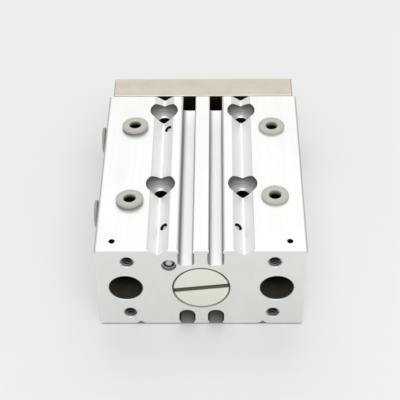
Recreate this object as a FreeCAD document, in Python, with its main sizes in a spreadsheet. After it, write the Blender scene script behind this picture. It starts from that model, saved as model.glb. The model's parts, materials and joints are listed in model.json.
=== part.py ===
# Twin-guide pneumatic cylinder, millimetres, +Z up.
# The bore runs along +Y from the rear face (Y = 0) towards the end plate, and the base face is Z = 0.

import FreeCAD, Part
import os
import re

import Sketcher
from FreeCAD import Placement, Rotation, Vector

sizes = {
    # motion
    "stroke": 40,
    "stop_clearance": 0.3,
    # fits
    "running_clearance": 0.04,
    "seat_clearance": 0.05,
    # extruded body
    "body_width": 64,
    "body_height": 33,
    "body_edge_radius": 0.8,
    "body_end_chamfer": 0.3,
    "bore_radius": 8,
    # sensor slots, two on top and two below
    "slot_spacing": 9,
    "slot_mouth": 4.2,
    "slot_cavity": 5.1,
    "slot_depth": 6.5,
    "slot_lip": 1.1,
    "slot_undercut": 0.45,
    "slot_top_floor_radius": 1.2,
    "slot_base_floor_radius": 2.3,
    "slot_outer_lip_radius": 0.9,
    "slot_inner_lip_radius": 0.35,
    # V-grooves on top, notches below
    "groove_spacing": 26,
    "groove_width": 6.4,
    "groove_depth": 2.2,
    "groove_floor_radius": 0.7,
    "groove_inner_edge_radius": 1,
    "notch_spacing": 38.4,
    "notch_width": 3.8,
    "notch_depth": 1.35,
    # counterbored mounting holes in the V-grooves
    "mount_rear_inset": 29.8,
    "mount_front_inset": 7.8,
    "mount_hole_radius": 2.15,
    "mount_chamfer": 0.6,
    "counterbore_radius": 4.6,
    "counterbore_depth": 4.6,
    # tapped holes of the rear face
    "tap_side_inset": 9.7,
    "tap_edge_inset": 5.2,
    "tap_radius": 2.05,
    "tap_depth": 10,
    "tap_chamfer": 0.28,
    # air ports and their dust plugs
    "port_left_side_inset": 9.7,
    "port_right_side_inset": 9,
    "port_rear_left_inset": 21.7,
    "port_rear_right_inset": 23.7,
    "port_front_inset": 17,
    "port_radius": 2.5,
    "port_depth": 5.2,
    "side_port_drop": 5.5,
    "plug_flange_radius": 4.3,
    "plug_flange_thickness": 0.8,
    "plug_flange_chamfer": 0.15,
    "plug_stem_radius": 2.42,
    "plug_tip_radius": 2.15,
    "plug_stem_length": 3.6,
    "plug_hole_radius": 1.95,
    "plug_hole_depth": 3.2,
    "plug_mouth_rounding": 0.25,
    "plug_lift": 0.42,
    "side_plug_lift": 0.6,
    "plug_tilt": 4,
    # breathing vents of the guide bores
    "vent_side_inset": 5.2,
    "vent_inset": 3.9,
    "vent_radius": 0.92,
    # drilled air passages and the balls that close them
    "passage_radius": 1.2,
    "passage_inner_reach": 8.1,
    "axial_passage_offset": 9.7,
    "axial_passage_drop": 6.5,
    "axial_seat_radius": 2.3,
    "axial_seat_depth": 1.1,
    "axial_ball_radius": 1.5,
    "axial_ball_sink": 0.9,
    "groove_drill_rear_inset": 11.2,
    "groove_drill_front_inset": 16.4,
    "groove_drill_radius": 0.7,
    "groove_drill_depth": 11.9,
    "groove_ball_radius": 1.25,
    "groove_ball_sink": 1.5,
    # head cap
    "cap_recess": 0.15,
    "cap_length": 9.2,
    "cap_flange_length": 4.7,
    "cap_flange_radius": 8.65,
    "cap_ring_gap": 0.35,
    "cap_chamfer": 0.3,
    "cap_slot_width": 1.5,
    "cap_slot_depth": 1.8,
    "cap_slot_angle": 7.3,
    "cap_seal_inset": 2.2,
    # round-section seals
    "seal_section_radius": 0.7,
    "seal_side_room": 0.2,
    # piston
    "piston_bumper_length": 1.7,
    "bumper_radius": 6.2,
    "bumper_chamfer": 0.3,
    "piston_tail_radius": 6.8,
    "piston_tail_length": 1.4,
    "piston_land_length": 4.3,
    "piston_nose_radius": 6.9,
    "piston_nose_length": 4.2,
    "piston_seal_width": 2.2,
    "piston_seal_height": 2,
    "piston_seal_notch": 0.35,
    "magnet_width": 2.4,
    "magnet_thickness": 1.7,
    # piston rod and its collar
    "rod_radius": 4,
    "rod_spigot_radius": 2.5,
    "rod_tail": 1,
    "collar_bumper_length": 1.5,
    "collar_length": 9.95,
    "collar_step": 0.4,
    "collar_bore_room": 0.3,
    "collar_seal_inset": 4.4,
    "rod_seal_inset": 0.7,
    "rod_seal_width": 2.2,
    "rod_seal_height": 1.8,
    "rod_seal_notch": 0.5,
    "rod_bush_length": 4.6,
    "rod_bush_wall": 1.2,
    "ring_thickness": 0.8,
    "ring_groove_depth": 0.6,
    "ring_radial_width": 1.4,
    "ring_gap": 5,
    "ring_lug_radius": 1.2,
    "ring_lug_hole_radius": 0.5,
    "ring_inset": 0.7,
    # guide rods and bushes
    "guide_side_inset": 8.8,
    "guide_rod_radius": 5,
    "guide_rod_setback": 14,
    "guide_rod_chamfer": 1,
    "guide_hole_radius": 5.2,
    "guide_mouth_chamfer": 0.25,
    "bush_length": 28,
    "bush_wall": 1.5,
    "bush_inset": 0.5,
    "bush_chamfer": 0.4,
    # end plate and its screws
    "plate_side_inset": 0.7,
    "plate_top_inset": 4,
    "plate_thickness": 10,
    "plate_gap": 5.2,
    "plate_edge_chamfer": 0.4,
    "plate_tap_side_inset": 4,
    "plate_tap_edge_inset": 4,
    "plate_tap_radius": 2.5,
    "plate_counterbore_depth": 5.4,
    "screw_radius": 2.5,
    "screw_reach": 12,
    "screw_hole_room": 0.1,
    "screw_head_radius": 4.2,
    "screw_head_length": 5,
    "screw_head_chamfer": 0.35,
    "screw_head_room": 0.3,
    "screw_socket_width": 4,
    "screw_socket_depth": 2.5,
}

# Places that follow from the sizes, as expressions.
places = {
    "axis_height": "body_height / 2",
    "cap_seat": "cap_recess + cap_flange_length",
    "cap_seal_place": "cap_seat + cap_seal_inset",
    "piston_rear": "cap_recess + cap_length + stop_clearance + piston_bumper_length",
    "piston_length": "piston_tail_length + piston_land_length + piston_nose_length",
    "piston_front": "piston_rear + piston_length",
    "collar_bumper_rear": "piston_front + stroke + stop_clearance",
    "collar_rear": "collar_bumper_rear + collar_bumper_length",
    "collar_front": "collar_rear + collar_length",
    "collar_seat_radius": "bore_radius + collar_step",
    "ring_groove_radius": "collar_seat_radius + ring_groove_depth",
    "ring_groove_end": "collar_front + ring_thickness + seat_clearance",
    "body_length": "collar_front + ring_thickness + ring_inset",
    "plate_rear": "body_length + plate_gap",
    "guide_offset": "body_width / 2 - guide_side_inset",
    "port_left_offset": "body_width / 2 - port_left_side_inset",
    "port_right_offset": "body_width / 2 - port_right_side_inset",
    "vent_offset": "body_width / 2 - vent_side_inset",
    "tap_offset": "body_width / 2 - tap_side_inset",
    "tap_rise": "axis_height - tap_edge_inset",
    "plate_width": "body_width - 2 * plate_side_inset",
    "plate_height": "body_height - 2 * plate_top_inset",
    "plate_tap_offset": "plate_width / 2 - plate_tap_side_inset",
    "plate_tap_rise": "plate_height / 2 - plate_tap_edge_inset",
    "bush_outer_radius": "guide_rod_radius + running_clearance + bush_wall",
    "bush_rear": "body_length - bush_inset - bush_length",
    "port_front_place": "body_length - port_front_inset",
    "mount_front_place": "body_length - mount_front_inset",
    "side_port_height": "body_height - side_port_drop",
    "axial_passage_height": "body_height - axial_passage_drop",
    "groove_drill_front_place": "body_length - groove_drill_front_inset",
    "groove_slope": "atan(2 * groove_depth / groove_width)",
    "groove_edge_run": "groove_inner_edge_radius * tan(groove_slope / 2)",
    "groove_wall_offset": "groove_spacing / 2 - groove_width / 4",
    "groove_wall_height": "body_height - groove_depth / 2",
    "seal_groove_half_width": "seal_section_radius + seal_side_room",
    "seal_groove_depth": "2 * (seal_section_radius + seat_clearance)",
    "rod_bush_outer_radius": "rod_radius + running_clearance + rod_bush_wall",
    "rod_seal_outer_radius": "rod_radius + running_clearance + rod_seal_height",
    "piston_seal_inset": "piston_tail_length + (piston_land_length - piston_seal_width) / 2",
    "magnet_inset": "piston_length - piston_nose_length / 2 - magnet_width / 2",
    "screw_seat": "plate_rear + plate_thickness - plate_counterbore_depth",
}

# How far a cut starts outside the face that it opens on.
overshoot = "1"

doc = FreeCAD.newDocument("TwinGuideCylinder")
sheet = doc.addObject("Spreadsheet::Sheet", "Sizes")
for row, (name, size) in enumerate(sizes.items(), start=1):
    sheet.set(f"A{row}", name)
    sheet.set(f"B{row}", str(size))
    sheet.setAlias(f"B{row}", name)
doc.recompute()

pieces = []


def cells(text):
    """Turn the words of an expression into cells of the sheet."""

    def cell(match):
        word = match.group()
        if word in places:
            return f"({cells(places[word])})"
        return f"Sizes.{word}" if word in sizes else word

    return re.sub(r"[a-z_]+", cell, text)


def number(text):
    """The present value of an expression."""
    found = sheet.evalExpression(cells(text))
    return float(getattr(found, "Value", found))


def bind(thing, field, text):
    thing.setExpression(field, cells(text))


def put(thing, field, x="0", y="0", z="0"):
    """Bind the three coordinates of a placement."""
    for axis, text in zip("xyz", (x, y, z)):
        bind(thing, f"{field}.Base.{axis}", text)


def new_piece(label, x="0", y="0", z="0"):
    body = doc.addObject("PartDesign::Body", label)
    body.Label = label
    put(body, "Placement", x, y, z)
    pieces.append(body)
    return body


def sketch_on(body, name, role, x="0", y="0", z="0"):
    """Sketch on an origin plane of the body, shifted within the plane (x, y) and along its normal (z)."""
    sketch = body.newObject("Sketcher::SketchObject", name)
    plane = next(one for one in body.Origin.OriginFeatures if one.Role == role)
    sketch.AttachmentSupport = [(plane, "")]
    sketch.MapMode = "FlatFace"
    put(sketch, "AttachmentOffset", x, y, z)
    return sketch


def fix_point(sketch, edge, end, x, y):
    """Hold a point of the sketch at its distances from the sketch's origin."""
    for kind, text in (("DistanceX", x), ("DistanceY", y)):
        held = sketch.addConstraint(Sketcher.Constraint(kind, -1, 1, edge, end, number(text)))
        bind(sketch, f"Constraints[{held}]", text)


def arc_between(start, end, radius, turn):
    """The short arc from start to end; turn is 1 for counter-clockwise and -1 for clockwise."""
    chord = end - start
    reach = (radius**2 - chord.Length**2 / 4) ** 0.5
    centre = (start + end) / 2 + Vector(-chord.y, chord.x, 0).normalize() * reach * turn
    first, last = (start, end) if turn > 0 else (end, start)
    axis = Vector(1, 0, 0)
    angles = [axis.getAngle(one - centre) * (1 if one.y >= centre.y else -1) for one in (first, last)]
    return Part.ArcOfCircle(Part.Circle(centre, Vector(0, 0, 1), radius), *angles)


def outline(sketch, corners):
    """Closed outline. A corner is (x, y), or (x, y, radius, turn) where an arc leads to the next corner."""
    points = [Vector(number(corner[0]), number(corner[1]), 0) for corner in corners]
    edges = []
    for here, corner in enumerate(corners):
        start, end = points[here], points[(here + 1) % len(points)]
        if len(corner) == 2:
            edge = sketch.addGeometry(Part.LineSegment(start, end), False)
            edges.append((edge, 1, 2))
        else:
            radius, turn = corner[2:]
            edge = sketch.addGeometry(arc_between(start, end, number(radius), turn), False)
            edges.append((edge, 1, 2) if turn > 0 else (edge, 2, 1))
            held = sketch.addConstraint(Sketcher.Constraint("Radius", edge, number(radius)))
            bind(sketch, f"Constraints[{held}]", radius)
    for (edge, _, last), (following, first, _) in zip(edges, edges[1:] + edges[:1]):
        sketch.addConstraint(Sketcher.Constraint("Coincident", edge, last, following, first))
    for (edge, first, _), corner in zip(edges, corners):
        fix_point(sketch, edge, first, *corner[:2])


def circles(sketch, radius, centres):
    for x, y in centres:
        ring = Part.Circle(Vector(number(x), number(y), 0), Vector(0, 0, 1), number(radius))
        edge = sketch.addGeometry(ring, False)
        fix_point(sketch, edge, 3, x, y)
        held = sketch.addConstraint(Sketcher.Constraint("Radius", edge, number(radius)))
        bind(sketch, f"Constraints[{held}]", radius)


def extrude(kind, body, name, sketch, length=None, backwards=False):
    """Pad or Pocket. With no length, a pocket goes through all."""
    feature = body.newObject(f"PartDesign::{kind}", name)
    feature.Profile = sketch
    feature.Reversed = backwards
    if length is None:
        feature.Type = "ThroughAll"
    else:
        bind(feature, "Length", length)
    return feature


def turn(kind, body, name, sketch, axis="H_Axis"):
    """Revolution or Groove, a full turn about an axis of the sketch."""
    feature = body.newObject(f"PartDesign::{kind}", name)
    feature.Profile = sketch
    feature.ReferenceAxis = (sketch, [axis])
    feature.Angle = 360
    return feature


def turned_piece(label, corners, y, x="0"):
    """A piece turned about an axis along Y. Corners are (distance along the axis, radius)."""
    body = new_piece(label, x, y, "axis_height")
    sketch = sketch_on(body, f"{label}_section", "YZ_Plane")
    outline(sketch, corners)
    turn("Revolution", body, f"{label}_turned", sketch)
    return body


def ring_corners(length, inner, outer, chamfer="0.2"):
    """Section of a plain ring with its outer edges broken."""
    return [
        ("0", inner),
        (length, inner),
        (length, f"{outer} - {chamfer}"),
        (f"{length} - {chamfer}", outer),
        (chamfer, outer),
        ("0", f"{outer} - {chamfer}"),
    ]


def edges_where(feature, wanted):
    return [f"Edge{place}" for place, edge in enumerate(feature.Shape.Edges, start=1) if wanted(edge)]


def runs_along_y(edge):
    return edge.Curve.TypeId == "Part::GeomLine" and abs(edge.Curve.Direction.y) > 0.999


def is_ring(edge, radius):
    return edge.Curve.TypeId == "Part::GeomCircle" and abs(edge.Curve.Radius - number(radius)) < 0.001


def lies_in_end_face(edge):
    return abs(edge.BoundBox.YMax - edge.BoundBox.YMin) < 0.001


def dress(kind, body, name, base, edges, field, text):
    """Fillet or Chamfer on the named edges of a feature."""
    feature = body.newObject(f"PartDesign::{kind}", name)
    feature.Base = (base, edges)
    bind(feature, field, text)
    return feature


def sensor_slot(side, level):
    """Outline of an undercut slot. side is 1 right, -1 left; level is 1 on top, -1 below."""

    def corner(across, down, *arc):
        x = f"{side} * (slot_spacing / 2 + {across})"
        height = f"body_height - ({down})" if level > 0 else down
        if arc:
            radius, bend = arc
            return (x, height, radius, bend * side * level)
        return (x, height)

    mouth, cavity = "slot_mouth / 2", "slot_cavity / 2"
    outer, inner = "slot_outer_lip_radius", "slot_inner_lip_radius"
    floor = "slot_top_floor_radius" if level > 0 else "slot_base_floor_radius"
    return [
        corner(f"{mouth} + {outer}", f"-{overshoot}"),
        corner(f"{mouth} + {outer}", "0", outer, 1),
        corner(mouth, outer),
        corner(mouth, "slot_lip"),
        corner(cavity, "slot_lip + slot_undercut"),
        corner(cavity, f"slot_depth - {floor}", floor, -1),
        corner(f"{cavity} - {floor}", "slot_depth"),
        corner(f"-({cavity} - {floor})", "slot_depth", floor, -1),
        corner(f"-{cavity}", f"slot_depth - {floor}"),
        corner(f"-{cavity}", "slot_lip + slot_undercut"),
        corner(f"-{mouth}", "slot_lip"),
        corner(f"-{mouth}", inner, inner, 1),
        corner(f"-{mouth} - {inner}", "0"),
        corner(f"-{mouth} - {inner}", f"-{overshoot}"),
    ]


def top_groove(side):
    """Outline of a V-groove with a rounded floor and a rounded edge on the side of the slots."""

    def corner(across, down, *arc):
        x = f"{side} * (groove_spacing / 2 + {across})"
        height = f"body_height - ({down})"
        if arc:
            radius, bend = arc
            return (x, height, radius, bend * side)
        return (x, height)

    half, run, floor = "groove_width / 2", "groove_edge_run", "groove_floor_radius"
    foot = f"{floor} * sin(groove_slope)"
    level = f"groove_depth - {foot} * tan(groove_slope)"
    return [
        corner(f"-({half} + {run})", f"-{overshoot}"),
        corner(f"-({half} + {run})", "0", "groove_inner_edge_radius", -1),
        corner(f"-({half} - {run} * cos(groove_slope))", f"{run} * sin(groove_slope)"),
        corner(f"-{foot}", level, floor, 1),
        corner(foot, level),
        corner(half, "0"),
        corner(half, f"-{overshoot}"),
    ]


def base_notch(side):
    """Outline of a V cut into the base."""
    middle, below = f"{side} * notch_spacing / 2", f"-{overshoot}"
    left, right = f"{middle} - notch_width / 2", f"{middle} + notch_width / 2"
    return [(left, below), (left, "0"), (middle, "notch_depth"), (right, "0"), (right, below)]


def pairs(across, *along):
    """Centres left and right of the middle, for each place along."""
    return [(f"{side} * ({across})", place) for place in along for side in (-1, 1)]


# Groove walls that a slanted passage is drilled through: side, place along the body.
slanted_passages = [
    (-1, "groove_drill_rear_inset"),
    (-1, "groove_drill_front_place"),
    (1, "groove_drill_rear_inset"),
]


def cut_profiles(body):
    """Slots, grooves and notches that run the whole length of the extrusion."""
    slots = sketch_on(body, "slot_sketch", "XZ_Plane")
    for side in (-1, 1):
        for level in (-1, 1):
            outline(slots, sensor_slot(side, level))
    extrude("Pocket", body, "sensor_slots", slots)
    grooves = sketch_on(body, "groove_sketch", "XZ_Plane")
    for side in (-1, 1):
        outline(grooves, top_groove(side))
        outline(grooves, base_notch(side))
    extrude("Pocket", body, "grooves_and_notches", grooves)


def cut_bores(body):
    """The stepped piston bore and the two stepped guide bores."""
    bore = sketch_on(body, "bore_section", "YZ_Plane", y="axis_height")
    seat = "cap_flange_radius + cap_ring_gap"
    outline(bore, [
        (f"-{overshoot}", "0"),
        (f"-{overshoot}", seat),
        ("cap_seat", seat),
        ("cap_seat", "bore_radius"),
        ("collar_rear", "bore_radius"),
        ("collar_rear", "collar_seat_radius"),
        ("collar_front", "collar_seat_radius"),
        ("collar_front", "ring_groove_radius"),
        ("ring_groove_end", "ring_groove_radius"),
        ("ring_groove_end", "collar_seat_radius"),
        (f"body_length + {overshoot}", "collar_seat_radius"),
        (f"body_length + {overshoot}", "0"),
    ])
    turn("Groove", body, "piston_bore", bore)
    for side, word in ((-1, "left"), (1, "right")):
        guide = sketch_on(
            body, f"guide_section_{word}", "YZ_Plane", y="axis_height", z=f"{side} * guide_offset"
        )
        outline(guide, [
            (f"-{overshoot}", "0"),
            (f"-{overshoot}", "guide_hole_radius + guide_mouth_chamfer"),
            ("0", "guide_hole_radius + guide_mouth_chamfer"),
            ("guide_mouth_chamfer", "guide_hole_radius"),
            ("bush_rear", "guide_hole_radius"),
            ("bush_rear", "bush_outer_radius + seat_clearance"),
            (f"body_length + {overshoot}", "bush_outer_radius + seat_clearance"),
            (f"body_length + {overshoot}", "0"),
        ])
        turn("Groove", body, f"guide_bore_{word}", guide)


def cut_holes(body):
    """Mounting holes, tapped holes, ports and vents."""
    rows = pairs("groove_spacing / 2", "mount_rear_inset", "mount_front_place")
    through = sketch_on(body, "mount_sketch", "XY_Plane", z="body_height")
    circles(through, "mount_hole_radius", rows)
    extrude("Pocket", body, "mounting_holes", through)
    sunk = sketch_on(body, "counterbore_sketch", "XY_Plane", z="body_height")
    circles(sunk, "counterbore_radius", rows)
    seats = extrude("Pocket", body, "counterbores", sunk, "counterbore_depth")
    doc.recompute()
    floor = number("body_height - counterbore_depth")

    def seat_rim(edge):
        return is_ring(edge, "mount_hole_radius") and abs(edge.CenterOfMass.z - floor) < 0.001

    dress("Chamfer", body, "mount_chamfers", seats, edges_where(seats, seat_rim), "Size", "mount_chamfer")
    ports = sketch_on(body, "port_sketch", "XY_Plane", z="body_height")
    circles(ports, "port_radius", [(x, y) for _, x, y in top_ports])
    extrude("Pocket", body, "top_ports", ports, "port_depth")
    side = sketch_on(body, "side_port_sketch", "YZ_Plane", z="-body_width / 2")
    circles(side, "port_radius", [(y, "side_port_height") for _, y in side_ports])
    extrude("Pocket", body, "side_ports", side, "port_depth", backwards=True)
    vents = sketch_on(body, "vent_sketch", "XY_Plane", z="body_height")
    circles(vents, "vent_radius", pairs("vent_offset", "vent_inset"))
    extrude("Pocket", body, "vents", vents, "body_height - axis_height")
    taps = sketch_on(body, "tap_sketch", "XZ_Plane")
    heights = [f"axis_height {sign} (tap_rise)" for sign in "+-"]
    circles(taps, "tap_radius", pairs("tap_offset", *heights))
    tapped = extrude("Pocket", body, "rear_tapped_holes", taps, "tap_depth")
    doc.recompute()
    mouths = edges_where(tapped, lambda edge: is_ring(edge, "tap_radius") and edge.CenterOfMass.y < 0.001)
    dress("Chamfer", body, "tap_chamfers", tapped, mouths, "Size", "tap_chamfer")


def cut_passages(body):
    """Air passages: across from the side ports, along from the rear face, slanting from the V-grooves."""
    left_ports = [(x, y) for _, x, y in top_ports if x.startswith("-1")]
    down = sketch_on(body, "feed_sketch", "XY_Plane", z="body_height")
    circles(down, "passage_radius", left_ports)
    extrude("Pocket", body, "port_feeds", down, "side_port_drop")
    across = sketch_on(body, "cross_sketch", "YZ_Plane", z="-body_width / 2")
    circles(across, "passage_radius", [(y, "side_port_height") for _, y in side_ports])
    extrude(
        "Pocket", body, "cross_passages", across, "body_width / 2 - passage_inner_reach", backwards=True
    )
    ball_room, ball_end = "axial_ball_radius + seat_clearance", "axial_seat_depth + 3 * axial_ball_radius"
    steps = [
        ("axial_passage", "passage_radius", "port_rear_left_inset + passage_radius"),
        ("axial_ball_bore", ball_room, ball_end),
        ("axial_seat", "axial_seat_radius", "axial_seat_depth"),
    ]
    for name, radius, depth in steps:
        sketch = sketch_on(body, f"{name}_sketch", "XZ_Plane")
        circles(sketch, radius, [("-axial_passage_offset", "axial_passage_height")])
        extrude("Pocket", body, name, sketch, depth)
    for place, (side, along) in enumerate(slanted_passages, start=1):
        ball_reach = "groove_ball_radius + seat_clearance"
        steps = [
            (f"groove_passage_{place}", "groove_drill_radius", "groove_drill_depth"),
            (f"groove_ball_bore_{place}", ball_reach, f"groove_ball_sink + {ball_reach}"),
        ]
        for name, radius, depth in steps:
            x = f"{side} * groove_wall_offset"
            sketch = sketch_on(body, f"{name}_sketch", "XY_Plane", x, along, "groove_wall_height")
            sketch.AttachmentOffset = Placement(Vector(), Rotation(Vector(0, 1, 0), side))
            bind(sketch, "AttachmentOffset.Rotation.Angle", f"{side} * groove_slope")
            circles(sketch, radius, [("0", "0")])
            extrude("Pocket", body, name, sketch, depth)


# Ports: name, then place on the face. The left top ports share their passages with the side ports.
top_ports = [
    ("left_rear", "-1 * (port_left_offset)", "port_rear_left_inset"),
    ("left_front", "-1 * (port_left_offset)", "port_front_place"),
    ("right_rear", "port_right_offset", "port_rear_right_inset"),
    ("right_front", "port_right_offset", "port_front_place"),
]
side_ports = [("rear", "port_rear_left_inset"), ("front", "port_front_place")]


def make_cylinder_body():
    body = new_piece("cylinder_body")
    section = sketch_on(body, "body_section", "XZ_Plane")
    outline(section, [
        ("-body_width / 2", "0"),
        ("body_width / 2", "0"),
        ("body_width / 2", "body_height"),
        ("-body_width / 2", "body_height"),
    ])
    block = extrude("Pad", body, "extrusion", section, "body_length", backwards=True)
    doc.recompute()
    rounded = dress(
        "Fillet", body, "long_edges", block, edges_where(block, runs_along_y), "Radius", "body_edge_radius"
    )
    doc.recompute()
    ends = edges_where(rounded, lies_in_end_face)
    dress("Chamfer", body, "end_edges", rounded, ends, "Size", "body_end_chamfer")
    cut_profiles(body)
    cut_bores(body)
    cut_holes(body)
    cut_passages(body)


def make_head_cap():
    spigot, seal_bed = "bore_radius - seat_clearance", "bore_radius - seal_groove_depth"
    near = "cap_flange_length + cap_seal_inset - seal_groove_half_width"
    far = "cap_flange_length + cap_seal_inset + seal_groove_half_width"
    body = turned_piece("head_cap", [
        ("0", "0"),
        ("0", "cap_flange_radius - cap_chamfer"),
        ("cap_chamfer", "cap_flange_radius"),
        ("cap_flange_length", "cap_flange_radius"),
        ("cap_flange_length", spigot),
        (near, spigot),
        (near, seal_bed),
        (far, seal_bed),
        (far, spigot),
        ("cap_length", spigot),
        ("cap_length", "0"),
    ], "cap_recess")
    slot = sketch_on(body, "driver_slot_sketch", "XZ_Plane")
    bind(slot, "AttachmentOffset.Rotation.Angle", "cap_slot_angle")
    half, end = "cap_slot_width / 2", f"(cap_flange_radius + {overshoot})"
    outline(slot, [(f"-{end}", f"-{half}"), (end, f"-{half}"), (end, half), (f"-{end}", half)])
    extrude("Pocket", body, "driver_slot", slot, "cap_slot_depth")


def make_round_seal(label, seat_radius, y):
    body = new_piece(label, "0", y, "axis_height")
    section = sketch_on(body, f"{label}_section", "YZ_Plane")
    circles(section, "seal_section_radius", [("0", f"{seat_radius} - seal_section_radius - seat_clearance")])
    turn("Revolution", body, f"{label}_turned", section)


def make_rod_collar():
    inner, outer = "rod_radius + collar_bore_room", "collar_seat_radius - seat_clearance"
    seal_bed = "collar_seat_radius - seal_groove_depth"
    near, far = (f"collar_seal_inset {sign} seal_groove_half_width" for sign in "-+")
    bush_bed, bush_start = "rod_bush_outer_radius + seat_clearance", "collar_length - rod_bush_length"
    rod_seal_bed, rod_seal_end = "rod_seal_outer_radius + seat_clearance", "rod_seal_inset + rod_seal_width"
    turned_piece("rod_collar", [
        ("0", inner),
        ("0", outer),
        (near, outer),
        (near, seal_bed),
        (far, seal_bed),
        (far, outer),
        ("collar_length", outer),
        ("collar_length", bush_bed),
        (bush_start, bush_bed),
        (bush_start, inner),
        (rod_seal_end, inner),
        (rod_seal_end, rod_seal_bed),
        ("rod_seal_inset", rod_seal_bed),
        ("rod_seal_inset", inner),
    ], "collar_rear")
    make_round_seal("collar_seal", "collar_seat_radius", "collar_rear + collar_seal_inset")
    # A lip seal that opens towards the pressure.
    middle = "rod_radius + running_clearance + rod_seal_height / 2"
    turned_piece("rod_seal", [
        ("0", "rod_radius + running_clearance"),
        ("rod_seal_width", "rod_radius + running_clearance"),
        ("rod_seal_width", "rod_seal_outer_radius"),
        ("0", "rod_seal_outer_radius"),
        ("0", f"{middle} + rod_seal_notch"),
        ("rod_seal_width / 2", middle),
        ("0", f"{middle} - rod_seal_notch"),
    ], "collar_rear + rod_seal_inset")
    inner = "rod_radius + running_clearance"
    bush = ring_corners("rod_bush_length", inner, "rod_bush_outer_radius")
    turned_piece("rod_bush", bush, f"collar_rear + {bush_start}")
    inner = "rod_radius + collar_bore_room"
    turned_piece(
        "collar_bumper",
        ring_corners("collar_bumper_length", inner, "bumper_radius", "bumper_chamfer"),
        "collar_bumper_rear",
    )


def make_retaining_ring():
    """Internal retaining ring with a gap at the bottom and two lugs for the pliers."""
    body = new_piece("collar_retaining_ring", "0", "collar_front", "axis_height")
    outer = "(ring_groove_radius - seat_clearance)"
    inner = f"({outer} - ring_radial_width)"
    lug_level = f"-sqrt(({inner} - ring_lug_radius / 2) ^ 2 - ring_gap ^ 2 / 4)"
    lugs = [(f"{side} * ring_gap / 2", lug_level) for side in (-1, 1)]
    section = sketch_on(body, "ring_section", "XZ_Plane")
    circles(section, outer, [("0", "0")])
    circles(section, inner, [("0", "0")])
    extrude("Pad", body, "ring_band", section, "ring_thickness", backwards=True)
    gap = sketch_on(body, "ring_gap_sketch", "XZ_Plane")
    outline(gap, [
        ("-ring_gap / 2", f"-{outer} - {overshoot}"),
        ("ring_gap / 2", f"-{outer} - {overshoot}"),
        ("ring_gap / 2", "0"),
        ("-ring_gap / 2", "0"),
    ])
    extrude("Pocket", body, "ring_opening", gap)
    for place, lug in enumerate(lugs, start=1):
        bosses = sketch_on(body, f"ring_lug_sketch_{place}", "XZ_Plane")
        circles(bosses, "ring_lug_radius", [lug])
        extrude("Pad", body, f"ring_lug_{place}", bosses, "ring_thickness", backwards=True)
    holes = sketch_on(body, "ring_hole_sketch", "XZ_Plane")
    circles(holes, "ring_lug_hole_radius", lugs)
    extrude("Pocket", body, "ring_lug_holes", holes)


def make_piston():
    hole, land = "rod_spigot_radius + seat_clearance", "bore_radius - running_clearance"
    seal_bed, seal_end = f"{land} - piston_seal_height", "piston_seal_inset + piston_seal_width"
    magnet_bed, magnet_end = "piston_nose_radius - magnet_thickness", "magnet_inset + magnet_width"
    land_end = "piston_tail_length + piston_land_length"
    turned_piece("piston", [
        ("0", hole),
        ("0", "piston_tail_radius"),
        ("piston_tail_length", "piston_tail_radius"),
        ("piston_tail_length", land),
        ("piston_seal_inset", land),
        ("piston_seal_inset", seal_bed),
        (seal_end, seal_bed),
        (seal_end, land),
        (land_end, land),
        (land_end, "piston_nose_radius"),
        ("magnet_inset", "piston_nose_radius"),
        ("magnet_inset", magnet_bed),
        (magnet_end, magnet_bed),
        (magnet_end, "piston_nose_radius"),
        ("piston_length", "piston_nose_radius"),
        ("piston_length", hole),
    ], "piston_rear")
    # A two-lipped seal: its outer face is hollow between the lips.
    inner, outer = f"{seal_bed} + seat_clearance", "bore_radius - running_clearance / 2"
    turned_piece("piston_seal", [
        ("0", inner),
        ("piston_seal_width", inner),
        ("piston_seal_width", outer),
        ("piston_seal_width * 3 / 4", f"{outer} - piston_seal_notch"),
        ("piston_seal_width / 4", f"{outer} - piston_seal_notch"),
        ("0", outer),
    ], "piston_rear + piston_seal_inset")
    inner = f"{magnet_bed} + seat_clearance"
    magnet = ring_corners("magnet_width", inner, "piston_nose_radius")
    turned_piece("piston_magnet", magnet, "piston_rear + magnet_inset")
    turned_piece(
        "piston_bumper",
        ring_corners("piston_bumper_length", hole, "bumper_radius", "bumper_chamfer"),
        "piston_rear - piston_bumper_length",
    )


def screw_bore(end):
    """The last corners of a rod's section: a blind hole for its screw in the end that meets the plate."""
    radius, depth = "screw_radius + seat_clearance", "screw_reach"
    return [(end, radius), (f"{end} - {depth}", radius), (f"{end} - {depth}", "0")]


def make_rods():
    end, shoulder = "(plate_rear - piston_rear + rod_tail)", "piston_length + rod_tail"
    turned_piece("piston_rod", [
        ("0", "0"),
        ("0", "rod_spigot_radius"),
        (shoulder, "rod_spigot_radius"),
        (shoulder, "rod_radius"),
        (end, "rod_radius"),
        *screw_bore(end),
    ], "piston_rear - rod_tail")
    end = "(plate_rear - guide_rod_setback)"
    for side, word in ((-1, "left"), (1, "right")):
        turned_piece(f"guide_rod_{word}", [
            ("0", "0"),
            ("0", "guide_rod_radius - guide_rod_chamfer"),
            ("guide_rod_chamfer", "guide_rod_radius"),
            (end, "guide_rod_radius"),
            *screw_bore(end),
        ], "guide_rod_setback", f"{side} * guide_offset")
        inner = "guide_rod_radius + running_clearance"
        turned_piece(
            f"guide_bush_{word}",
            ring_corners("bush_length", inner, "bush_outer_radius", "bush_chamfer"),
            "bush_rear",
            f"{side} * guide_offset",
        )


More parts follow.
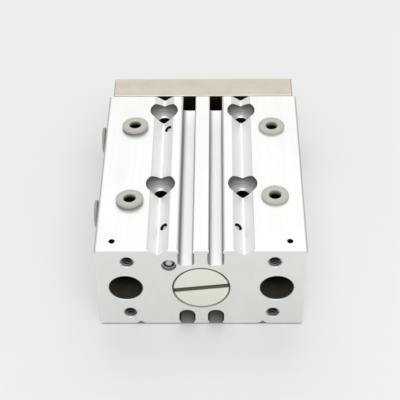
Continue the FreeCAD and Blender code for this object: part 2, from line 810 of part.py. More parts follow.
def make_end_plate():
    body = new_piece("end_plate", "0", "plate_rear", "axis_height")
    section = sketch_on(body, "plate_section", "XZ_Plane")
    half, rise = "plate_width / 2", "plate_height / 2"
    outline(section, [(f"-{half}", f"-{rise}"), (half, f"-{rise}"), (half, rise), (f"-{half}", rise)])
    slab = extrude("Pad", body, "plate_slab", section, "plate_thickness", backwards=True)
    doc.recompute()
    dress("Chamfer", body, "plate_edges", slab, edges_where(slab, bool), "Size", "plate_edge_chamfer")
    taps = sketch_on(body, "plate_tap_sketch", "XZ_Plane")
    heights = [f"{sign} * (plate_tap_rise)" for sign in (-1, 1)]
    circles(taps, "plate_tap_radius", pairs("plate_tap_offset", *heights))
    extrude("Pocket", body, "plate_tapped_holes", taps)
    centres = [("-guide_offset", "0"), ("0", "0"), ("guide_offset", "0")]
    holes = sketch_on(body, "screw_hole_sketch", "XZ_Plane")
    circles(holes, "screw_radius + screw_hole_room", centres)
    extrude("Pocket", body, "screw_holes", holes)
    sunk = sketch_on(body, "screw_seat_sketch", "XZ_Plane", z="-plate_thickness")
    circles(sunk, "screw_head_radius + screw_head_room", centres)
    extrude("Pocket", body, "screw_seats", sunk, "plate_counterbore_depth", backwards=True)


def make_plate_screw(label, x):
    """Socket screw: its head sits on the floor of the plate's counterbore."""
    shank = "(plate_thickness - plate_counterbore_depth + screw_reach - screw_hole_room)"
    body = turned_piece(label, [
        (f"-{shank}", "0"),
        (f"-{shank}", "screw_radius"),
        ("0", "screw_radius"),
        ("0", "screw_head_radius"),
        ("screw_head_length - screw_head_chamfer", "screw_head_radius"),
        ("screw_head_length", "screw_head_radius - screw_head_chamfer"),
        ("screw_head_length", "0"),
    ], "screw_seat", x)
    socket = sketch_on(body, f"{label}_socket_sketch", "XZ_Plane", z="-screw_head_length")
    reach = "screw_socket_width / sqrt(3)"
    turns = range(0, 360, 60)
    outline(socket, [(f"{reach} * cos({angle})", f"{reach} * sin({angle})") for angle in turns])
    extrude("Pocket", body, f"{label}_socket", socket, "screw_socket_depth", backwards=True)


def make_port_plug(label, x, y, z, rotation):
    """Dust plug: a flange on the face, a hollow stem in the port."""
    body = new_piece(label, x, y, z)
    body.Placement = Placement(Vector(), rotation)
    section = sketch_on(body, f"{label}_section", "XZ_Plane")
    top, mouth = "plug_flange_thickness", "plug_hole_radius + plug_mouth_rounding"
    outline(section, [
        ("0", "-plug_stem_length"),
        ("plug_tip_radius", "-plug_stem_length"),
        ("plug_stem_radius", "0"),
        ("plug_flange_radius", "0"),
        ("plug_flange_radius", f"{top} - plug_flange_chamfer"),
        ("plug_flange_radius - plug_flange_chamfer", top),
        (mouth, top, "plug_mouth_rounding", 1),
        ("plug_hole_radius", f"{top} - plug_mouth_rounding"),
        ("plug_hole_radius", "-plug_hole_depth"),
        ("0", "-plug_hole_depth"),
    ])
    turn("Revolution", body, f"{label}_turned", section, "V_Axis")
    return body


def make_port_plugs():
    # The left top plugs stand a little proud and lean, with the edge nearest the rear right lifted.
    lean = Rotation(Vector(-0.86, -0.5, 0), 1)
    for word, x, y in top_ports:
        loose = word.startswith("left")
        height = "body_height + plug_lift" if loose else "body_height"
        body = make_port_plug(f"port_plug_{word}", x, y, height, lean if loose else Rotation())
        if loose:
            bind(body, "Placement.Rotation.Angle", "plug_tilt")
    sideways = Rotation(Vector(0, 1, 0), -90)
    for word, y in side_ports:
        make_port_plug(
            f"port_plug_side_{word}", "-body_width / 2 - side_plug_lift", y, "side_port_height", sideways
        )


def make_ball(label, radius, x, y, z):
    ball = doc.addObject("Part::Sphere", label)
    ball.Label = label
    bind(ball, "Radius", radius)
    put(ball, "Placement", x, y, z)
    return ball


def make_passage_balls():
    balls = []
    for place, (side, along) in enumerate(slanted_passages, start=1):
        x = f"{side} * (groove_wall_offset - groove_ball_sink * sin(groove_slope))"
        height = "groove_wall_height - groove_ball_sink * cos(groove_slope)"
        balls.append(make_ball(f"groove_ball_{place}", "groove_ball_radius", x, along, height))
    group = doc.addObject("Part::Compound", "groove_passage_balls")
    group.Label = "groove_passage_balls"
    group.Links = balls
    depth = "axial_seat_depth + axial_ball_sink"
    rear = make_ball(
        "rear_passage_ball", "axial_ball_radius", "-axial_passage_offset", depth, "axial_passage_height"
    )
    pieces.extend([group, rear])


make_cylinder_body()
make_head_cap()
make_round_seal("head_cap_seal", "bore_radius", "cap_seal_place")
make_rod_collar()
make_retaining_ring()
make_piston()
make_rods()
make_end_plate()
make_plate_screw("guide_rod_screw_left", "-guide_offset")
make_plate_screw("guide_rod_screw_right", "guide_offset")
make_plate_screw("piston_rod_screw", "0")
make_port_plugs()
make_passage_balls()
doc.recompute()

# Nothing is written unless every object is sound and every cut has taken material away.
for thing in doc.Objects:
    if "Invalid" in thing.State or "Error" in thing.State:
        raise RuntimeError(f"{thing.Label} did not build: {thing.State}")
    if thing.TypeId in ("PartDesign::Pocket", "PartDesign::Groove"):
        if thing.Shape.Volume >= thing.BaseFeature.Shape.Volume:
            raise RuntimeError(f"{thing.Label} cut nothing")
for piece in pieces:
    if piece.Shape.isNull() or not piece.Shape.isValid() or not piece.Shape.Solids:
        raise RuntimeError(f"{piece.Label} has no sound solid")

os.makedirs("parts", exist_ok=True)
for piece in pieces:
    piece.Shape.exportStep(f"parts/{piece.Label}.step")
print(f"{len(pieces)} pieces, body length {number('body_length'):.2f}")
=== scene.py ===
import json
import math

import bpy
from mathutils import Matrix, Vector


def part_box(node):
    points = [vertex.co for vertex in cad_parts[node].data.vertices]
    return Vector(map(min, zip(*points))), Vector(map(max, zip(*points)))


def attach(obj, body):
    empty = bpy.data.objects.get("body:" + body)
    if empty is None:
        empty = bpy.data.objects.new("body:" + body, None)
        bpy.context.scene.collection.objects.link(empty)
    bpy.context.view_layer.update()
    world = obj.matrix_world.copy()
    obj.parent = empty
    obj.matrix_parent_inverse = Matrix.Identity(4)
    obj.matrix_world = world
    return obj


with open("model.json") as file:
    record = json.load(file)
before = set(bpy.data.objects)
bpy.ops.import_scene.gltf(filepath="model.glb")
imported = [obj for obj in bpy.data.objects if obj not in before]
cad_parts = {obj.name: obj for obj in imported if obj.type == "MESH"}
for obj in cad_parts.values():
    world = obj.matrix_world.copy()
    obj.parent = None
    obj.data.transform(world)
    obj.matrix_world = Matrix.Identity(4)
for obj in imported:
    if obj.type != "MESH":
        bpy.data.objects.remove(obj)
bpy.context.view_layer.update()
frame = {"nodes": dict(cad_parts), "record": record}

nodes = frame["nodes"]
mounts = {one["name"]: one for one in frame["record"]["mounts"]}
mm = 0.001
print("frame loaded:", len(nodes), "nodes")


# places that the frame gives

def middleOf(name):
    low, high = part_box(name)
    return Vector([(a + b) / 2 for a, b in zip(low, high)])


def holePattern(name):
    # middle of a bolt pattern, half its spacing both ways, radius of its holes
    dims = mounts[name]["dims"]
    halfFirst, halfSecond = dims["spacing_x_mm"] * mm / 2, dims["spacing_y_mm"] * mm / 2
    return Vector(mounts[name]["pos_m"]), halfFirst, halfSecond, dims["hole_r_mm"] * mm


def band(base, pair):
    # two limits, given as distances from a base
    return [base + one for one in pair]


bodyLow, bodyHigh = [Vector(one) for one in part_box("cylinder_body")]
plateLow, plateHigh = [Vector(one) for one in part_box("end_plate")]
axisHeight = middleOf("piston_rod").z
alongY, alongZ = (0.0, 1.0, 0.0), (0.0, 0.0, 1.0)


# small helpers for node trees

def connect(tree, socket, value):
    # a link from another node, or a plain value
    if isinstance(value, bpy.types.NodeSocket):
        tree.links.new(value, socket)
    else:
        socket.default_value = value


def addNode(tree, kind, inputs=None, **settings):
    made = tree.nodes.new(kind)
    for name, value in settings.items():
        setattr(made, name, value)
    for key, value in (inputs or {}).items():
        connect(tree, made.inputs[key], value)
    return made


def valueMath(tree, operation, first, second=0.0, clamp=False):
    made = addNode(tree, "ShaderNodeMath", {0: first, 1: second}, operation=operation, use_clamp=clamp)
    return made.outputs[0]


def vectorMath(tree, operation, first, second=(0, 0, 0)):
    return addNode(tree, "ShaderNodeVectorMath", {0: first, 1: second}, operation=operation).outputs[0]


def lengthOf(tree, vector):
    return addNode(tree, "ShaderNodeVectorMath", {0: vector}, operation="LENGTH").outputs["Value"]


def partsOf(tree, vector):
    # x, y and z of a vector
    return addNode(tree, "ShaderNodeSeparateXYZ", {0: vector}).outputs


def splitAlong(tree, vector, axis):
    # the part of a vector along an axis and the part across it
    along = vectorMath(tree, "PROJECT", vector, axis)
    return along, vectorMath(tree, "SUBTRACT", vector, along)


def remap(tree, value, low, high, toLow=0.0, toHigh=1.0, smooth=False):
    kind = "SMOOTHSTEP" if smooth else "LINEAR"
    made = addNode(tree, "ShaderNodeMapRange", {
        "Value": value, "From Min": low, "From Max": high, "To Min": toLow, "To Max": toHigh,
    }, interpolation_type=kind)
    return made.outputs["Result"]


def rising(tree, value, low, high, full=1.0, smooth=False):
    return remap(tree, value, low, high, 0.0, full, smooth)


def falling(tree, value, low, high, full=1.0, smooth=False):
    return remap(tree, value, low, high, full, 0.0, smooth)


def product(tree, total, *others):
    for other in others:
        total = valueMath(tree, "MULTIPLY", total, other)
    return total


def weigh(tree, values, shares):
    # weighted sum of values
    parts = [product(tree, value, share) for value, share in zip(values, shares)]
    total = parts[0]
    for part in parts[1:]:
        total = valueMath(tree, "ADD", total, part)
    return total


def blendColours(tree, mask, first, second):
    firstColour, secondColour, result = 6, 7, 2  # places of the colour sockets on a Mix node
    made = addNode(tree, "ShaderNodeMix", {"Factor": mask}, data_type="RGBA")
    connect(tree, made.inputs[firstColour], first)
    connect(tree, made.inputs[secondColour], second)
    return made.outputs[result]


def shade(hexText):
    # a linear colour from a six-digit screen code
    parts = [int(hexText[i:i + 2], 16) / 255 for i in (0, 2, 4)]
    return tuple(c / 12.92 if c <= 0.04045 else ((c + 0.055) / 1.055) ** 2.4 for c in parts) + (1.0,)


def tint(tree, mask, colour, hexText):
    return blendColours(tree, mask, colour, shade(hexText))


# shader groups that several finishes share

def startGroup(name, inputs, outputs):
    tree = bpy.data.node_groups.new(name, "ShaderNodeTree")
    for label, kind, value in inputs:
        socket = tree.interface.new_socket(label, in_out="INPUT", socket_type=kind)
        if value is not None:
            socket.default_value = value
    for label in outputs:
        tree.interface.new_socket(label, in_out="OUTPUT", socket_type="NodeSocketFloat")
    return tree, tree.nodes.new("NodeGroupInput").outputs, tree.nodes.new("NodeGroupOutput").inputs


def makeDrawnLines():
    # streaks that a die or a brush leaves, drawn out along one direction
    mix = {"shares": (0.6, 0.4), "contrast": (0.3, 0.7)}
    tree, given, put = startGroup("drawnLines", [
        ("Vector", "NodeSocketVector", None),
        ("Stretch", "NodeSocketVector", (2200.0, 14.0, 2200.0)),
    ], ["Tone", "Height"])
    at = vectorMath(tree, "MULTIPLY", given["Vector"], given["Stretch"])
    fine = addNode(tree, "ShaderNodeTexNoise", {
        "Vector": at, "Scale": 1.0, "Detail": 3.0, "Roughness": 0.65})
    broad = addNode(tree, "ShaderNodeTexNoise", {
        "Vector": at, "Scale": 0.23, "Detail": 2.0, "Roughness": 0.5})
    both = weigh(tree, (fine.outputs[0], broad.outputs[0]), mix["shares"])
    tree.links.new(remap(tree, both, *mix["contrast"]), put["Tone"])
    tree.links.new(both, put["Height"])
    return tree


def makeBlastedGrain():
    # fine even grain of blasted, cast or moulded skin
    mix = {"shares": (0.65, 0.35), "contrast": (0.3, 0.75)}
    tree, given, put = startGroup("blastedGrain", [
        ("Vector", "NodeSocketVector", None),
        ("Grain Size", "NodeSocketFloat", 0.25 * mm),
    ], ["Tone", "Height"])
    scale = valueMath(tree, "DIVIDE", 1.0, given["Grain Size"])
    fine = addNode(tree, "ShaderNodeTexNoise", {
        "Vector": given["Vector"], "Scale": scale, "Detail": 2.5, "Roughness": 0.7})
    pits = addNode(tree, "ShaderNodeTexVoronoi", {"Vector": given["Vector"], "Scale": scale}, feature="F1")
    both = weigh(tree, (fine.outputs[0], pits.outputs["Distance"]), mix["shares"])
    tree.links.new(remap(tree, both, *mix["contrast"]), put["Tone"])
    tree.links.new(both, put["Height"])
    return tree


def makeToolRings():
    # concentric marks of a turning tool about an axis
    mix = {"shares": (0.5, 0.5), "contrast": (0.15, 0.85)}
    tree, given, put = startGroup("toolRings", [
        ("Vector", "NodeSocketVector", None),
        ("Centre", "NodeSocketVector", (0.0, 0.0, 0.0)),
        ("Axis", "NodeSocketVector", alongY),
        ("Pitch", "NodeSocketFloat", 0.22 * mm),
    ], ["Tone", "Height"])
    away = vectorMath(tree, "SUBTRACT", given["Vector"], given["Centre"])
    across = splitAlong(tree, away, given["Axis"])[1]
    turns = valueMath(tree, "DIVIDE", lengthOf(tree, across), given["Pitch"])
    wave = valueMath(tree, "SINE", product(tree, turns, 2 * math.pi))
    uneven = addNode(tree, "ShaderNodeTexNoise", {
        "W": turns, "Scale": 0.7, "Detail": 2.0}, noise_dimensions="1D")
    both = weigh(tree, (remap(tree, wave, -1.0, 1.0), uneven.outputs[0]), mix["shares"])
    tree.links.new(remap(tree, both, *mix["contrast"]), put["Tone"])
    tree.links.new(both, put["Height"])
    return tree


def makeBoreMask():
    # 1 within a radius of an axis and a depth of the centre, 0 elsewhere
    tree, given, put = startGroup("boreMask", [
        ("Vector", "NodeSocketVector", None),
        ("Centre", "NodeSocketVector", (0.0, 0.0, 0.0)),
        ("Axis", "NodeSocketVector", alongY),
        ("Radius", "NodeSocketFloat", 5 * mm),
        ("Depth", "NodeSocketFloat", 10 * mm),
        ("Softness", "NodeSocketFloat", 0.04 * mm),
    ], ["Mask"])
    away = vectorMath(tree, "SUBTRACT", given["Vector"], given["Centre"])
    along, across = splitAlong(tree, away, given["Axis"])
    masks = []
    for part, limit in ((across, "Radius"), (along, "Depth")):
        edge = valueMath(tree, "ADD", given[limit], given["Softness"])
        masks.append(falling(tree, lengthOf(tree, part), given[limit], edge))
    tree.links.new(product(tree, *masks), put["Mask"])
    return tree


def makeEdgeRub():
    # bare edges of a block: 1 where two of its faces meet, broken up by noise
    wear = {"scale": 420.0, "detail": 4.0, "contrast": (0.35, 0.6)}
    tree, given, put = startGroup("edgeRub", [
        ("Vector", "NodeSocketVector", None),
        ("Centre", "NodeSocketVector", (0.0, 0.0, 0.0)),
        ("Half Size", "NodeSocketVector", (30 * mm, 30 * mm, 30 * mm)),
        ("Width", "NodeSocketFloat", 0.6 * mm),
    ], ["Mask"])
    away = vectorMath(tree, "ABSOLUTE", vectorMath(tree, "SUBTRACT", given["Vector"], given["Centre"]))
    room = partsOf(tree, vectorMath(tree, "SUBTRACT", given["Half Size"], away))
    near = [falling(tree, room[i], 0.0, given["Width"], smooth=True) for i in range(3)]
    meet = [product(tree, near[i], near[(i + 1) % 3]) for i in range(3)]
    total = valueMath(tree, "ADD", valueMath(tree, "ADD", meet[0], meet[1]), meet[2], clamp=True)
    worn = addNode(tree, "ShaderNodeTexNoise", {
        "Vector": given["Vector"], "Scale": wear["scale"], "Detail": wear["detail"]})
    broken = remap(tree, worn.outputs[0], *wear["contrast"])
    tree.links.new(product(tree, total, broken), put["Mask"])
    return tree


def makeHandlingClouds():
    # slow cloudy change of tone
    contrast = (0.3, 0.7)
    tree, given, put = startGroup("handlingClouds", [
        ("Vector", "NodeSocketVector", None),
        ("Cloud Size", "NodeSocketFloat", 12 * mm),
    ], ["Tone"])
    scale = valueMath(tree, "DIVIDE", 1.0, given["Cloud Size"])
    noise = addNode(tree, "ShaderNodeTexNoise", {
        "Vector": given["Vector"], "Scale": scale, "Detail": 4.0, "Roughness": 0.55, "Distortion": 0.4})
    tree.links.new(remap(tree, noise.outputs[0], *contrast), put["Tone"])
    return tree


groups = {
    "drawnLines": makeDrawnLines(),
    "blastedGrain": makeBlastedGrain(),
    "toolRings": makeToolRings(),
    "boreMask": makeBoreMask(),
    "edgeRub": makeEdgeRub(),
    "handlingClouds": makeHandlingClouds(),
}
print("shader groups made:", len(groups))


def useGroup(tree, name, **inputs):
    made = tree.nodes.new("ShaderNodeGroup")
    made.node_tree = groups[name]
    for key, value in inputs.items():
        connect(tree, made.inputs[key.replace("_", " ")], value)
    return made.outputs


def startFinish(name, **sockets):
    # a material with one Principled shader and Object coordinates
    finish = bpy.data.materials.new(name)
    finish.use_nodes = True
    tree = finish.node_tree
    shader = tree.nodes["Principled BSDF"]
    for label, value in sockets.items():
        shader.inputs[label].default_value = value
    where = tree.nodes.new("ShaderNodeTexCoord").outputs["Object"]
    return finish, tree, shader, where


def setRoughness(tree, shader, tone, limits):
    tree.links.new(remap(tree, tone, 0.0, 1.0, *limits), shader.inputs["Roughness"])


def setBump(tree, shader, height, look):
    bump = addNode(tree, "ShaderNodeBump", {
        "Height": height, "Strength": look["bump"], "Distance": look["bumpDepth"]})
    tree.links.new(bump.outputs[0], shader.inputs["Normal"])


def foldHoles(tree, where, middle, reach):
    # mirrors every hole of a pattern onto one, with the axis of that hole at the origin
    away = vectorMath(tree, "ABSOLUTE", vectorMath(tree, "SUBTRACT", where, tuple(middle)))
    return vectorMath(tree, "SUBTRACT", away, reach)


# anodised body; a pair of lengths is the two ends of a soft step, or a place
bodyLook = {
    # skin
    "pale": "F5F6F4", "deep": "E6E7E4", "grainTone": "C4C5C2", "bare": "FAFAF8",
    "metal": 0.6, "rough": (0.34, 0.48), "drawn": (2400.0, 16.0, 2400.0), "grain": 0.16 * mm,
    "cloud": 18 * mm, "rubWidth": 0.7 * mm, "bump": 0.16, "bumpDepth": 0.02 * mm,
    "toneShares": (0.35, 0.35), "grainShare": 0.14, "bareShare": 0.6,
    "roughShares": (0.5, 0.5), "heightShares": (0.5, 0.5, 1.0),
    "rearFace": (0.05 * mm, 0.3 * mm), "frontFace": (-0.3 * mm, -0.05 * mm),
    # painted light in the grooves and slots of the top, by distance from the middle plane
    "recessLight": "FEFFFD", "recessLip": (-0.3 * mm, -0.1 * mm), "innerShare": 0.6,
    "innerWall": (8.0 * mm, 8.5 * mm), "outerWall": (12.95 * mm, 13.05 * mm),
    "grooveEnd": (17.0 * mm, 17.2 * mm),
    # counterbores: cutter marks, and painted shade on the walls
    "ringTone": "9C9D9A", "ringShare": 0.5, "cutterPitch": 0.4 * mm, "floorReach": 0.3 * mm,
    "counterboreRadius": 4.6 * mm, "counterboreDepth": 4.6 * mm, "seatReach": 0.03 * mm,
    "seatShade": "3E3F3B", "wallShares": (0.45, 0.82), "wallStart": 0.3 * mm, "rimDrop": 1.2 * mm,
    "footShare": 0.25, "footBand": (0.1 * mm, 0.5 * mm), "footStart": (0.02 * mm, 0.1 * mm),
    # painted shade in the sensor slots
    "slotPlace": 4.5 * mm, "slotHalf": 2.6 * mm, "slotDepth": 6.5 * mm, "slotReach": (0.0, 0.02 * mm),
    "slotSideShade": "8A8B88", "slotLip": (-0.7 * mm, -0.15 * mm), "slotFloor": (-0.3 * mm, -0.1 * mm),
    "leftSide": (-1.85 * mm, -0.75 * mm), "leftShare": 0.66,
    "rightSide": (1.6 * mm, 2.2 * mm), "rightShare": 0.7,
    "lowerSlotShade": "2A2B27", "belowShare": 0.9,
    "belowLip": (0.05 * mm, 0.4 * mm), "belowFloor": (0.0, 0.1 * mm),
    # painted shade along the long top edges, and a painted shadow along the lower rear edge
    "edgeLineShade": "A2A3A0", "edgeShare": 0.8,
    "edgeAcross": (-0.6 * mm, -0.15 * mm), "edgeUp": (-1.2 * mm, -0.7 * mm),
    "lowEdgeShade": "4C4C48", "lowAlong": (0.24 * mm, 0.3 * mm), "lowUp": (0.3 * mm, 0.36 * mm),
    # painted shade in the holes
    "holeShade": "1E1D19", "wallReach": 0.02 * mm,
    "ventPlace": (26.8 * mm, 3.9 * mm), "ventRadius": 0.92 * mm,
    "guideShade": "787665", "guideStreak": "444236", "streakShare": 0.8, "guideDeepShade": "28281E",
    "guideFade": (5.5 * mm, 9 * mm), "guideRadius": 5.2 * mm, "guideDepth": 45 * mm,
    "tapShade": "0A0A08", "tapMouth": "F4F5F3", "tapFade": (0.55 * mm, 1.1 * mm), "tapDepth": 10.2 * mm,
    # painted shade in the passages that the balls close
    "ballShade": "2C2B25", "ballRadius": 1.25 * mm, "ballGap": 0.05 * mm, "passageReach": 4 * mm,
    "grooveDepth": 2.2 * mm, "grooveWidth": 6.4 * mm, "ballPlace": (11.4 * mm, 1.1 * mm),
    "ballSeatShade": "9B9C99", "seatRadius": 2.3 * mm, "ballFloor": "E2E3E0", "floorRadius": 2.1 * mm,
    "rearPassageRadius": 1.75 * mm, "rearSeatStart": 0.15 * mm,
}


def betweenEnds(tree, along):
    # 1 between the end faces of the body, 0 on them
    return product(tree, rising(tree, along, *band(bodyLow.y, bodyLook["rearFace"])),
                   falling(tree, along, *band(bodyHigh.y, bodyLook["frontFace"])))


def underTop(tree, height, lip):
    # 1 from a lip under the top down to the floors of the slots
    slotFloor = band(bodyHigh.z - bodyLook["slotDepth"], bodyLook["slotFloor"])
    return product(tree, falling(tree, height, *band(bodyHigh.z, lip)), rising(tree, height, *slotFloor))


def paleRecesses(tree, place, colour):
    # painted light: grooves and slots paler than the top, the inner walls of the grooves less so
    look = bodyLook
    across = valueMath(tree, "ABSOLUTE", place[0])
    share = valueMath(tree, "ADD", remap(tree, across, *look["innerWall"], 1.0, look["innerShare"]),
                      rising(tree, across, *look["outerWall"], 1.0 - look["innerShare"]))
    recessLight = product(tree, underTop(tree, place[2], look["recessLip"]), betweenEnds(tree, place[1]),
                     share, falling(tree, across, *look["grooveEnd"]))
    return tint(tree, recessLight, colour, look["recessLight"])


def counterbores(tree, where, place, colour):
    # marks of the cutter on the floors, and painted shade on the walls, darker towards the rim and at the
    # foot
    look = bodyLook
    middle, halfX, halfY = holePattern("mounting_holes")[:3]
    floorHeight = bodyHigh.z - look["counterboreDepth"]
    away = foldHoles(tree, where, (middle.x, middle.y, floorHeight), (halfX, halfY, 0))
    rings = useGroup(tree, "toolRings", Vector=away, Axis=alongZ, Pitch=look["cutterPitch"])
    onFloor = useGroup(tree, "boreMask", Vector=away, Axis=alongZ,
                       Radius=look["counterboreRadius"], Depth=look["floorReach"])
    ringTone = product(tree, rings["Tone"], onFloor["Mask"], look["ringShare"])
    colour = tint(tree, ringTone, colour, look["ringTone"])
    inSeat = useGroup(tree, "boreMask", Vector=away, Axis=alongZ,
                      Radius=look["counterboreRadius"] + look["seatReach"], Depth=look["counterboreDepth"])
    wallStart, wallEnd = floorHeight + look["wallStart"], bodyHigh.z - look["rimDrop"]
    footShade = falling(tree, place[2], *band(floorHeight, look["footBand"]), look["footShare"])
    wallShade = valueMath(tree, "ADD", remap(tree, place[2], wallStart, wallEnd, *look["wallShares"]), footShade)
    offFloor = rising(tree, place[2], *band(floorHeight, look["footStart"]))
    return tint(tree, product(tree, wallShade, offFloor, inSeat["Mask"]), colour, look["seatShade"]), ringTone


def sensorSlots(tree, place, colour):
    # painted shade: darker sides in the slots of the top, a dark tone all over in those of the base
    look = bodyLook
    slotMiddle = product(tree, valueMath(tree, "SIGN", place[0]), look["slotPlace"])
    toRight = valueMath(tree, "SUBTRACT", place[0], slotMiddle)
    offMiddle = valueMath(tree, "ABSOLUTE", toRight)
    inSlot = product(tree, falling(tree, offMiddle, *band(look["slotHalf"], look["slotReach"])),
                     betweenEnds(tree, place[1]))
    sides = valueMath(tree, "ADD", falling(tree, toRight, *look["leftSide"], look["leftShare"], True),
                      rising(tree, toRight, *look["rightSide"], look["rightShare"], True))
    upperSlotShade = product(tree, underTop(tree, place[2], look["slotLip"]), inSlot, sides)
    colour = tint(tree, upperSlotShade, colour, look["slotSideShade"])
    below = falling(tree, place[2], *band(look["slotDepth"], look["belowFloor"]), look["belowShare"])
    below = product(tree, below, rising(tree, place[2], *look["belowLip"]), inSlot)
    return tint(tree, below, colour, look["lowerSlotShade"])


def bodyEdges(tree, place, colour):
    # painted shade: a darker line along the long top edges, and a painted shadow along the lower rear edge
    # at the floor
    look = bodyLook
    across = valueMath(tree, "ABSOLUTE", place[0])
    outward = rising(tree, across, *band(bodyHigh.x, look["edgeAcross"]), look["edgeShare"])
    longEdgeShade = product(tree, outward, rising(tree, place[2], *band(bodyHigh.z, look["edgeUp"])))
    colour = tint(tree, longEdgeShade, colour, look["edgeLineShade"])
    rearEdgeShade = product(tree, falling(tree, place[1], *look["lowAlong"]),
                       falling(tree, place[2], *look["lowUp"]))
    return tint(tree, rearEdgeShade, colour, look["lowEdgeShade"])


def holeWalls(tree, where, place, streaks, colour):
    # painted shade on the walls of the holes: guide bores streaked along the drawn lines and darker deeper
    # in, dark mounting holes and vents, tapped holes dark past a pale mouth, dark rings about the balls
    look = bodyLook
    middle, halfX, halfY, holeRadius = holePattern("mounting_holes")
    tapMiddle, tapX, tapZ, tapRadius = holePattern("rear_tapped_holes")
    guideX = middleOf("guide_rod_right").x
    ventX, ventY = look["ventPlace"]
    ballLow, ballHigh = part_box("groove_passage_balls")
    ballX, ballZ = look["ballPlace"][0], bodyHigh.z - look["ballPlace"][1]
    ballRadius = look["ballRadius"]
    passage = (ballRadius + look["ballGap"], look["passageReach"])
    slope = math.atan(2 * look["grooveDepth"] / look["grooveWidth"])
    slantRight, slantLeft = [(side * math.sin(slope), 0.0, -math.cos(slope)) for side in (-1, 1)]
    ballPair = foldHoles(tree, where, (0, ballLow[1] + ballRadius, 0), (ballX, 0, ballZ))
    frontBall = vectorMath(tree, "SUBTRACT", where, Vector((-ballX, ballHigh[1] - ballRadius, ballZ)))
    rearMiddle = middleOf("rear_passage_ball")
    rearBall = vectorMath(tree, "SUBTRACT", where, rearMiddle)
    rearReach = rearMiddle.y - look["rearSeatStart"]
    # painted shade tone, place from the axis of the hole, direction, radius and reach
    walls = [
        ("guideShade", foldHoles(tree, where, (0, 0, axisHeight), (guideX, 0, 0)), alongY,
         look["guideRadius"], look["guideDepth"]),
        ("holeShade", foldHoles(tree, where, (middle.x, middle.y, 0), (halfX, halfY, 0)), alongZ,
         holeRadius, bodyHigh.z),
        ("holeShade", foldHoles(tree, where, (0, ventY, bodyHigh.z), (ventX, 0, 0)), alongZ,
         look["ventRadius"], bodyHigh.z / 2),
        ("tapShade", foldHoles(tree, where, tapMiddle, (tapX, 0, tapZ)), alongY,
         tapRadius, look["tapDepth"]),
        ("ballShade", ballPair, slantRight, *passage),
        ("ballShade", frontBall, slantLeft, *passage),
        ("ballSeatShade", rearBall, alongY, look["seatRadius"], rearReach),
        ("ballFloor", rearBall, alongY, look["floorRadius"], rearReach),
        ("ballShade", rearBall, alongY, look["rearPassageRadius"], look["passageReach"]),
    ]
    for wall, away, axis, radius, reach in walls:
        inHole = useGroup(tree, "boreMask", Vector=away, Axis=axis,
                          Radius=radius + look["wallReach"], Depth=reach)
        skin = shade(look[wall])
        if wall == "guideShade":
            skin = tint(tree, product(tree, streaks, look["streakShare"]), skin, look["guideStreak"])
            skin = tint(tree, rising(tree, place[1], *look["guideFade"]), skin, look["guideDeepShade"])
        if wall == "tapShade":
            inward = rising(tree, place[1], *look["tapFade"])
            skin = blendColours(tree, inward, shade(look["tapMouth"]), skin)
        colour = blendColours(tree, inHole["Mask"], colour, skin)
    return colour


def anodisedBody():
    look = bodyLook
    finish, tree, shader, where = startFinish("bodyAnodised", Metallic=look["metal"])
    place = partsOf(tree, where)
    lines = useGroup(tree, "drawnLines", Vector=where, Stretch=look["drawn"])
    grain = useGroup(tree, "blastedGrain", Vector=where, Grain_Size=look["grain"])
    clouds = useGroup(tree, "handlingClouds", Vector=where, Cloud_Size=look["cloud"])
    rub = useGroup(tree, "edgeRub", Vector=where, Centre=(bodyLow + bodyHigh) / 2,
                   Half_Size=(bodyHigh - bodyLow) / 2, Width=look["rubWidth"])
    tone = weigh(tree, (lines["Tone"], clouds["Tone"]), look["toneShares"])
    colour = blendColours(tree, tone, shade(look["pale"]), shade(look["deep"]))
    colour = tint(tree, product(tree, grain["Tone"], look["grainShare"]), colour, look["grainTone"])
    colour = tint(tree, product(tree, rub["Mask"], look["bareShare"]), colour, look["bare"])
    colour = paleRecesses(tree, place, colour)
    colour, ringTone = counterbores(tree, where, place, colour)
    colour = sensorSlots(tree, place, colour)
    colour = bodyEdges(tree, place, colour)
    colour = holeWalls(tree, where, place, lines["Tone"], colour)
    tree.links.new(colour, shader.inputs["Base Color"])
    rough = weigh(tree, (lines["Tone"], grain["Tone"]), look["roughShares"])
    setRoughness(tree, shader, rough, look["rough"])
    height = weigh(tree, (lines["Height"], grain["Height"], ringTone), look["heightShares"])
    setBump(tree, shader, height, look)
    return finish


# turned metal: cap, collar, bushes, ring, balls, rods, piston and screws
turnedLook = {
    "cloud": 9 * mm, "grain": 0.12 * mm, "toneShares": (0.5, 0.4), "roughShares": (0.6, 0.4),
    "bump": 0.25, "bumpDepth": 0.012 * mm,
}
capTurn = math.radians(7.3)
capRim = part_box("head_cap")[1][0] - 0.34 * mm
